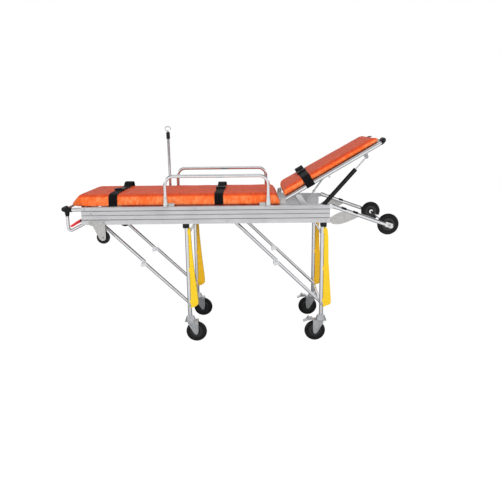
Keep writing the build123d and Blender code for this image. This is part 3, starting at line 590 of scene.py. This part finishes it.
def finish_cushion(obj, body, node):
    subdivide = obj.modifiers.new("sub", "SUBSURF")
    subdivide.levels = 1
    subdivide.render_levels = 1
    bpy.context.view_layer.objects.active = obj
    obj.select_set(True)
    bpy.ops.object.modifier_apply(modifier=subdivide.name)
    obj.data.materials.append(MATERIALS["vinyl"])
    for polygon in obj.data.polygons:
        polygon.use_smooth = True
    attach(obj, body)
    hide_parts(node)


def scatter(i, j=0, k=0):
    """Repeatable number from 0 to 1 for a set of indices."""
    value = math.sin(i * 127.1 + j * 311.7 + k * 74.7) * 43758.5453
    return value - math.floor(value)


def unevenness(x, y, seed, waves=5):
    """Smooth repeatable noise: the mean of a few sine waves of scattered rate and heading."""
    total = 0.0
    for n in range(waves):
        heading = scatter(n, seed) * 6.283
        rate_x = 6 + 22 * scatter(n, seed, 1)
        rate_y = 6 + 22 * scatter(n, seed, 2)
        total += math.sin(x * rate_x * math.cos(heading) * 2.4
                          + y * rate_y * math.sin(heading) * 2.4 + heading * 3)
    return total / waves


EDGE_FADE = 0.05                # m over which top dents fade out at the long edges
SEAT_HALF_WIDTH = 0.250
SEAT_WALL_Y = 0.240             # wall pulls start outside this
SEAT_TOP_DEPTH = 0.012          # band below the highest point that counts as top
SEAT_DENT, SEAT_RISE = 0.0016, 0.0012
WALL_PULL, WALL_PULL_RATE = 0.0009, 150
HEM_SPREAD, HEM_INNER_Y = 0.017, 0.18
HEM_FULL_HEIGHT = 0.5           # share of the pad height over which the hem spreads
RAIL_END_X = -984               # mm
HEM_HANG, HEM_HANG_HEIGHT = 0.007, 0.25


def shape_seat(obj, low, high):
    """Dents, wall pulls and a spreading hem at the foot end of the seat pad."""
    for vertex in obj.data.vertices:
        co = vertex.co
        # slack vinyl: long shallow dents across the top, short diagonal pulls on the walls
        if co.z > high.z - SEAT_TOP_DEPTH:
            edge = clamp((SEAT_HALF_WIDTH - abs(co.y)) / EDGE_FADE)
            co.z += SEAT_DENT * unevenness(co.x, co.y, 3) * edge + SEAT_RISE * edge
        elif abs(co.y) > SEAT_WALL_Y:
            sign = 1 if co.y > 0 else -1
            height = (co.z - low.z) / (high.z - low.z)
            pull = math.sin((co.x + height * 0.03 * sign) * WALL_PULL_RATE
                            + 2.2 * unevenness(co.x, height * 0.05, 7))
            co.y += sign * WALL_PULL * pull * math.sin(math.pi * clamp(height))
        # the foot end hem spreads over the rails
        height = (co.z - low.z) / (high.z - low.z)
        x = (co.x - DATUM_X) * 1000
        if abs(co.y) > HEM_INNER_Y and height < HEM_FULL_HEIGHT:
            share = (clamp((-740 - x) / 90) * clamp((x + 1010) / 60)
                     * (1 - height / HEM_FULL_HEIGHT) ** 1.5)
            co.y += ((1 if co.y > 0 else -1) * HEM_SPREAD * share
                     * min(1.0, (abs(co.y) - HEM_INNER_Y) / 0.06))
        co.z = max(co.z, low.z + 0.0004)
        # beyond the rail ends the hem hangs a little lower
        if x < RAIL_END_X and height < HEM_HANG_HEIGHT:
            co.z -= (HEM_HANG * (1 - max(0.0, height) / HEM_HANG_HEIGHT)
                     * min(1.0, (RAIL_END_X - x) / 25))


BACK_HALF_WIDTH = 0.226
CROWN_DROP = 0.0015
CROWN_FROM, CROWN_BLEND = 0.013, 0.022  # m above the backrest line
BACK_DENT, BACK_DENT_FROM = 0.0014, 0.028


def lift_square(co, distance):
    """Moves a point square to the backrest."""
    co.x -= SIN30 * distance
    co.z += COS30 * distance


def shape_back(obj):
    """Crowned section and shallow dents of the backrest pad."""
    for vertex in obj.data.vertices:
        co = vertex.co
        along, above = back_coordinates(co)
        edge = clamp((BACK_HALF_WIDTH - abs(co.y)) / EDGE_FADE)
        if above > CROWN_FROM:
            drop = CROWN_DROP * (abs(co.y) / BACK_HALF_WIDTH) ** 4
            lift_square(co, -drop * min(1.0, (above - CROWN_FROM) / CROWN_BLEND))
        if above > BACK_DENT_FROM:
            lift_square(co, BACK_DENT * unevenness(along, co.y, 11) * edge)


seat = puffed("seat_pad", "pad_seat", voxel=0.0070, shrink=0.0020, cap=0.0055, relax_passes=4)
back = puffed("backrest_pad", "pad_back", voxel=0.0065, shrink=0.0010, cap=0.0050,
              relax_passes=14, level=LEVEL)
shape_seat(seat, *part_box("seat_pad"))
shape_back(back)
finish_cushion(seat, "main_frame", "seat_pad")
finish_cushion(back, "backrest", "backrest_pad")


def surface_of(obj):
    return BVHTree.FromPolygons([v.co.copy() for v in obj.data.vertices],
                                [tuple(p.vertices) for p in obj.data.polygons])


def hit(surface, origin, direction, reach=0.3):
    """First point met on a surface, or None."""
    return surface.ray_cast(origin, Vector(direction).normalized(), reach)[0]


seat_surface, back_surface = surface_of(seat), surface_of(back)


def welt(name, surface, starts, direction, body):
    """Welt cord where slanting rays from the start points meet a cushion's edge."""
    points = [hit(surface, start, direction) for start in starts]
    path = [point for point in points if point is not None]
    cord(name, path, 0.0012, "welt", body)


for s, side in SIDES:
    welt("seat_welt_" + side, seat_surface,
         [station(x, s * 290, 935) for x in spread(-1000, 134, 130)], (0, -s, -1), "main_frame")
for s, side in SIDES:
    welt("back_welt_" + side, back_surface,
         [on_back(along, s * 262, 90) for along in spread(54, 604, 90)],
         (SIN30, -s, -COS30), "backrest")

# painted shadow: a thin dark strip stands in for the shade between pad and rail
for s, side in SIDES:
    solid_box("painted_shadow_strip_" + side, station(-300, s * 248.6, 835.1), (0.905, 0.005, 0.0034),
              "shadow_gap", "main_frame", bevel=0.0008)

# --------------------------------------------------------------------- straps
STRAP_WIDTH, STRAP_THICKNESS = 0.050, 0.0024
STRAP_OFFSET = STRAP_THICKNESS / 2 + 0.0005     # band centre line off the cushion
STRAP_REACH = 0.029             # cushion points this close along the pad hold the band up
SEAT_STRAP_END_Z = 0.8344
BACK_STRAP_END = -0.0115        # square to the backrest
BACK_TUBE_Y, BACK_TUBE_RADIUS = 0.240, 0.0112
FOOT_X, MIDDLE_X, CHEST_ALONG = -802, -197, 175     # strap stations, mm


def half_hull(points):
    chain = []
    for p in points:
        while len(chain) > 1:
            (ax, ay), (bx, by) = chain[-2:]
            if (bx - ax) * (p[1] - ay) - (by - ay) * (p[0] - ax) > 0:
                break
            chain.pop()
        chain.append(p)
    return chain


def hull(points):
    """Convex outline of flat points, anticlockwise."""
    ordered = sorted(set((round(a, 6), round(b, 6)) for a, b in points))
    return half_hull(ordered)[:-1] + half_hull(ordered[::-1])[:-1]


def taut(points, end_height, count=120):
    """Evenly spaced band line stretched over flat points, from the near end to the far end."""
    around = [k * math.pi / 6 for k in range(12)]
    fat = [(a + STRAP_OFFSET * math.cos(turn), b + STRAP_OFFSET * math.sin(turn))
           for a, b in points for turn in around]
    top = [p for p in hull(fat) if p[1] > end_height + 0.001]
    top.sort(key=lambda p: math.atan2(p[0], p[1] - end_height + 0.002))
    line = [(top[0][0], end_height)] + top + [(top[-1][0], end_height)]
    lengths = [0.0]
    for p, q in zip(line[:-1], line[1:]):
        lengths.append(lengths[-1] + math.hypot(q[0] - p[0], q[1] - p[1]))
    result, j = [], 0
    for i in range(count):
        distance = lengths[-1] * i / (count - 1)
        while j < len(lengths) - 2 and lengths[j + 1] < distance:
            j += 1
        share = (distance - lengths[j]) / max(1e-9, lengths[j + 1] - lengths[j])
        p, q = line[j], line[j + 1]
        result.append((p[0] + (q[0] - p[0]) * share, p[1] + (q[1] - p[1]) * share))
    return result


def soften(path, times=2):
    for _ in range(times):
        inner = [(path[i - 1] + path[i] * 2 + path[i + 1]) / 4 for i in range(1, len(path) - 1)]
        path = [path[0]] + inner + [path[-1]]
    return path


def hump_lift(y, hump):
    """Lift in mm at y in mm; hump is (centre y, half width, height)."""
    centre, half_width, height = hump
    return height * max(0.0, 1 - ((y - centre) / half_width) ** 2) ** 0.8


def seat_strap(name, x, hump):
    """Webbing over the seat pad at station x in mm, standing off the pad at its hump."""
    middle = station(x, 0, 0).x
    held_by = [(v.co.y, v.co.z) for v in seat.data.vertices
               if abs(v.co.x - middle) < STRAP_REACH]
    path = soften([Vector((middle, y, z + hump_lift(y * 1000, hump) / 1000))
                   for y, z in taut(held_by, SEAT_STRAP_END_Z)])
    return ribbon(name, path, X_AXIS, STRAP_WIDTH, STRAP_THICKNESS, "main_frame")


def back_strap(name, station_along, hump):
    """Webbing over the backrest pad and round the outside of the frame tubes."""
    held_by = []
    for vertex in back.data.vertices:
        along, above = back_coordinates(vertex.co)
        if abs(along - station_along / 1000) < STRAP_REACH:
            held_by.append((vertex.co.y, above))
    for s, _ in SIDES:
        for k in range(9):
            turn = k * math.pi / 8
            held_by.append((s * (BACK_TUBE_Y + BACK_TUBE_RADIUS * math.cos(turn)),
                            BACK_TUBE_RADIUS * math.sin(turn)))
        held_by.append((s * (BACK_TUBE_Y + BACK_TUBE_RADIUS), -0.011))
    path = soften([on_back(station_along, y * 1000, above * 1000 + hump_lift(y * 1000, hump))
                   for y, above in taut(held_by, BACK_STRAP_END)])
    return ribbon(name, path, BACK_ALONG, STRAP_WIDTH, STRAP_THICKNESS, "backrest")


BUCKLE_LENGTH, BUCKLE_WIDTH, BUCKLE_DEPTH = 0.062, 0.058, 0.0125
RIB_PITCH = 0.0042


def buckle(name, centre, across, up, body):
    """Two-part plastic buckle lying along y: body, metal tongue and a ribbed button."""
    length, width, depth = BUCKLE_LENGTH, BUCKLE_WIDTH, BUCKLE_DEPTH
    button_along = -length * 0.10
    # suffix, offset along, offset up, size (across, along, up), material, slot, bevel, segments
    parts = [
        ("body", 0, 0, (width, length * 0.62, depth),
         "black_plastic", "black_plastic", 0.0034, 4),
        ("tongue", length * 0.44, -depth * 0.10, (width * 0.86, length * 0.34, depth * 0.5),
         "zinc", "zinc", 0.0015, 3),
        ("button", button_along, depth * 0.46, (width * 0.56, length * 0.26, depth * 0.20),
         "hub", "black_plastic", 0.0009, 2)]
    for k in (-1, 0, 1):
        parts.append(("rib%d" % (k + 2), button_along - k * RIB_PITCH, depth * 0.57,
                      (width * 0.46, 0.0014, 0.0011),
                      "black_plastic", "black_plastic", 0.0004, 1))
    for suffix, along, above, size, material, slot, bevel, segments in parts:
        solid_box("%s_%s" % (name, suffix), centre + Vector(Y_AXIS) * along + Vector(up) * above,
                  size, material, body, bevel, (across, Y_AXIS, tuple(up)), segments)


def seat_buckle(name, x, y):
    """Buckle resting on the seat pad."""
    top = hit(seat_surface, station(x, y, 960), (0, 0, -1))
    buckle(name, top + Vector((0, 0, 0.0088)), X_AXIS, Z_AXIS, "main_frame")


def strap_tail(name, x, stations, width, steps=8):
    """Loose webbing tail, a Catmull-Rom curve through (y, z) stations in mm."""
    points = [station(x, y, z) for y, z in stations]
    path = []
    for i in range(len(points) - 1):
        p0, p1 = points[max(0, i - 1)], points[i]
        p2, p3 = points[i + 1], points[min(len(points) - 1, i + 2)]
        for j in range(steps):
            f = j / steps
            path.append(0.5 * ((2 * p1) + (p2 - p0) * f
                               + (2 * p0 - 5 * p1 + 4 * p2 - p3) * f * f
                               + (3 * p1 - p0 - 3 * p2 + p3) * f ** 3))
    path.append(points[-1])
    ribbon(name, path, X_AXIS, width, 0.0022, "main_frame")


foot_strap = seat_strap("strap_foot", FOOT_X, hump=(205, 64, 28))
seat_strap("strap_middle", MIDDLE_X, hump=(165, 85, 20))
seat_buckle("buckle_foot", FOOT_X, -62)
seat_buckle("buckle_middle", MIDDLE_X, -20)
strap_tail("strap_foot_tail", FOOT_X,
           [(-40, 912), (0, 911), (55, 905), (110, 903.5)], width=0.048)
strap_tail("strap_middle_tail", MIDDLE_X,
           [(2, 911), (40, 913), (95, 926), (150, 926), (190, 917)], width=0.046)
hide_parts("seat_straps")

chest_strap = back_strap("strap_chest", CHEST_ALONG, hump=(135, 95, 23))
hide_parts("backrest_strap")
chest_top = hit(back_surface, on_back(CHEST_ALONG, 4, 120), -BACK_NORMAL)
buckle("buckle_chest", chest_top + BACK_NORMAL * 0.0100, BACK_ALONG, BACK_NORMAL, "backrest")
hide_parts("strap_buckles")

# ------------------------------------------------------------- small fittings
LEG_Y = 226.5                   # leg and castor centre line, mm
CASTOR_TRAIL = 36               # wheel axle from the leg along x
CASTOR_AXLE_Z = 62.5
LEGS = (("front", -388, 1), ("rear", 400, -1))      # name, x, way the castor trails
LOADING_AXLE_X, LOADING_AXLE_Z = 773.7, 713
ARM_X, ARM_Z = 0.9414, -0.3372  # direction of the loading arm's end

# Profiles: (radius, distance along the axis) in metres
SWIVEL_RING = [(0.0127, 0.0), (0.0185, 0.0), (0.0195, 0.002), (0.0185, 0.006),
               (0.0150, 0.0095), (0.0127, 0.0095)]
CASTOR_TRIM = [(0.0195, 0.0), (0.0375, 0.0), (0.0375, 0.0018), (0.0350, 0.0032),
               (0.0300, 0.0030), (0.0215, 0.0022), (0.0195, 0.0018)]
LOADING_TRIM = [(0.0195, 0.0), (0.0370, 0.0), (0.0370, 0.002), (0.0345, 0.0034),
                (0.0215, 0.0024), (0.0195, 0.0018)]


def wheel_trims(name, x, y, z, offset, profile, body):
    """Raised ring and dished cover on both faces of a wheel."""
    for g, face in FACES:
        turned("%s_%s" % (name, face), station(x, y + g * offset, z), (0, g, 0), profile,
               "hub", body, segments=40)


def leg_fittings(s, side, leg, x, trail):
    y = s * LEG_Y
    end = "%s_%s" % (leg, side)
    body = leg + "_leg"
    axle_x = x + trail * CASTOR_TRAIL
    for g, face in FACES:
        hex_head("axle_nut_%s_%s" % (end, face), station(axle_x, y + g * 24.2, CASTOR_AXLE_Z),
                 (0, g, 0), 0.0068, 0.005, "castor_" + end)
    # ring between leg and swivel head
    turned("swivel_ring_" + end, station(x, y, 157.4), Z_AXIS, SWIVEL_RING,
           "leg_tube", body, segments=36)
    # knee bolt on the outside of the leg
    knee = ("knee_bolt_" + end, station(x - 1, s * (LEG_Y + 12.2), 234), (0, s, 0),
            0.0075, 0.006, body)
    washer(*knee)
    hex_head(*knee)
    wheel_trims("wheel_trim_" + end, axle_x, y, CASTOR_AXLE_Z, 9.8, CASTOR_TRIM,
                "castor_wheel_" + end)


def loading_fittings(s, side):
    wheel_trims("loading_trim_" + side, LOADING_AXLE_X, s * 239.2, LOADING_AXLE_Z, 9.08,
                LOADING_TRIM, "loading_wheel_" + side)
    # square clamp block on the end of the loading arm
    solid_box("arm_end_clamp_" + side, station(771.78, s * 265, 712.09),
              (0.0420, 0.0222, 0.0280), "plate_bright", "main_frame",
              bevel=0.0024, axes=((ARM_X, 0, ARM_Z), Y_AXIS, (-ARM_Z, 0, ARM_X)))
    hex_head("loading_axle_nut_" + side, station(LOADING_AXLE_X, s * 281, LOADING_AXLE_Z),
             (0, s, 0), 0.0085, 0.0045, "main_frame")
    hex_head("rest_axle_nut_" + side, station(-865, s * 289, 659),
             (0, s, 0), 0.0062, 0.004, "main_frame")


for s, side in SIDES:
    for leg, x, trail in LEGS:
        leg_fittings(s, side, leg, x, trail)
    loading_fittings(s, side)

# shadow lines in the drawn grooves of the rails: name, z in mm, height in m
RAIL_LINES = (("top", 810.0, 0.0020), ("mid", 786.0, 0.0012), ("low", 761.0, 0.0020))
for s, side in SIDES:
    for line_name, z, height in RAIL_LINES:
        solid_box("rail_line_%s_%s" % (line_name, side), station(-273, s * 276.2, z),
                  (1.4100, 0.0012, height), "groove", "main_frame", bevel=0.0)


# -------------------------------------------------------------- camera, light
def add_camera(location, lens, pitch, yaw, roll):
    """Camera looking along +y before it is turned by the three angles in radians."""
    data = bpy.data.cameras.new("cam")
    camera = bpy.data.objects.new("cam", data)
    bpy.context.scene.collection.objects.link(camera)
    data.sensor_width = 36.0
    data.lens = lens
    data.clip_end = 60
    turn_yaw = Matrix(((math.cos(yaw), math.sin(yaw), 0),
                       (-math.sin(yaw), math.cos(yaw), 0),
                       (0, 0, 1)))
    turn_pitch = Matrix(((1, 0, 0),
                         (0, math.cos(pitch), -math.sin(pitch)),
                         (0, math.sin(pitch), math.cos(pitch))))
    turn_roll = Matrix(((math.cos(roll), 0, math.sin(roll)),
                        (0, 1, 0),
                        (-math.sin(roll), 0, math.cos(roll))))
    right, forward, up = turn_roll @ turn_pitch @ turn_yaw
    rotation = Matrix((right, up, -forward)).transposed()
    camera.matrix_world = Matrix.Translation(location) @ rotation.to_4x4()
    bpy.context.scene.camera = camera


def area(name, location, target, size, size_y, energy, colour):
    """Rectangular light aimed at a target and hidden from reflections."""
    data = bpy.data.lights.new(name, "AREA")
    data.energy = energy
    data.color = colour
    data.shape = "RECTANGLE"
    data.size = size
    data.size_y = size_y
    light = bpy.data.objects.new(name, data)
    bpy.context.scene.collection.objects.link(light)
    light.location = location
    aim = Vector(target) - Vector(location)
    light.rotation_euler = aim.to_track_quat("-Z", "Y").to_euler()
    light.visible_glossy = False


def studio_world():
    """White to the camera; reflections see a studio with dark gaps."""
    world = bpy.data.worlds.new("studio")
    bpy.context.scene.world = world
    nodes = cleared(world)
    rays = nodes.add("LightPath").outputs
    seen = nodes.glow("Background", (1, 1, 1, 1), strength=1.0)
    ambient = nodes.glow("Background", (0.95, 0.97, 1.0, 1), strength=0.32)
    upward = nodes.split(nodes.add("TexCoord").outputs["Generated"], "Z")
    # brightness by height, from straight down (0) to straight up (1)
    bands = ((0.30, 0.42), (0.45, 0.14), (0.50, 0.22), (0.545, 0.85),
             (0.68, 1.0), (0.74, 0.34), (0.80, 0.14), (0.90, 0.12))
    studio = nodes.ramp(nodes.map_range(upward, from_min=-1, from_max=1),
                        (0.0, (0.7, 0.7, 0.7)), (1.0, (0.9, 0.9, 0.9)),
                        [(position, (c, c, c * 1.01)) for position, c in bands])
    reflected = nodes.glow("Background", studio, strength=1.25)
    unseen = nodes.mix_shader(rays["Is Glossy Ray"], ambient, reflected)
    nodes.add("OutputWorld", {0: nodes.mix_shader(rays["Is Camera Ray"], unseen, seen)})


def floor_white():
    """Near white to the camera, grey to other rays, fading towards +y in reflections."""
    material = bpy.data.materials.new("floor_white")
    nodes = cleared(material)
    rays = nodes.add("LightPath").outputs
    seen = nodes.glow("Emission", (1, 1, 1, 1), strength=1.06)
    y = nodes.split(nodes.add("NewGeometry").outputs["Position"], "Y")
    # brightness from y = -2.2 m (0) to y = 1.2 m (1)
    bands = ((0.30, 1.0), (0.50, 0.62), (0.60, 0.26), (0.72, 0.14))
    fade = nodes.ramp(nodes.map_range(y, from_min=-2.2, from_max=1.2),
                      (0.0, (1, 1, 1)), (1.0, (0.22, 0.22, 0.23)),
                      [(position, (c, c, c)) for position, c in bands])
    reflected = nodes.glow("Emission", fade, strength=0.95)
    diffuse = nodes.add("BsdfDiffuse", {"Color": (0.50, 0.50, 0.50, 1)}).outputs[0]
    camera_share = nodes.maths("MULTIPLY", rays["Is Camera Ray"], 0.95)
    unseen = nodes.mix_shader(rays["Is Glossy Ray"], diffuse, reflected)
    nodes.add("OutputMaterial", {0: nodes.mix_shader(camera_share, unseen, seen)})
    return material


add_camera(station(2.9718, -3312.2042, 1290.4151), lens=38.94192,
           pitch=0.2311, yaw=0.0083, roll=-0.0118)
area("key", (0.6, -4.6, 2.2), (0, 0, 0.6), size=3.0, size_y=1.8, energy=150,
     colour=(1.0, 0.99, 0.98))
area("fill_left", (-3.6, -2.4, 1.5), (0, 0, 0.6), size=2.0, size_y=1.6, energy=34,
     colour=(0.97, 0.98, 1.0))
area("top_strip", (0.0, 0.4, 3.4), (0, 0, 0.8), size=3.4, size_y=0.9, energy=14,
     colour=(1, 1, 1))
area("rim_right", (3.4, 1.6, 1.8), (0, 0, 0.7), size=1.6, size_y=1.6, energy=35,
     colour=(1, 0.99, 0.97))
studio_world()

# just below z = 0, clear of the wheels
bpy.ops.mesh.primitive_plane_add(size=24, location=(0, 0, -0.0005))
floor = bpy.context.active_object
floor.name = "floor"
floor.data.materials.append(floor_white())

bpy.context.scene.view_settings.view_transform = "Standard"

for node_object in NODES.values():
    smooth(node_object, 30)
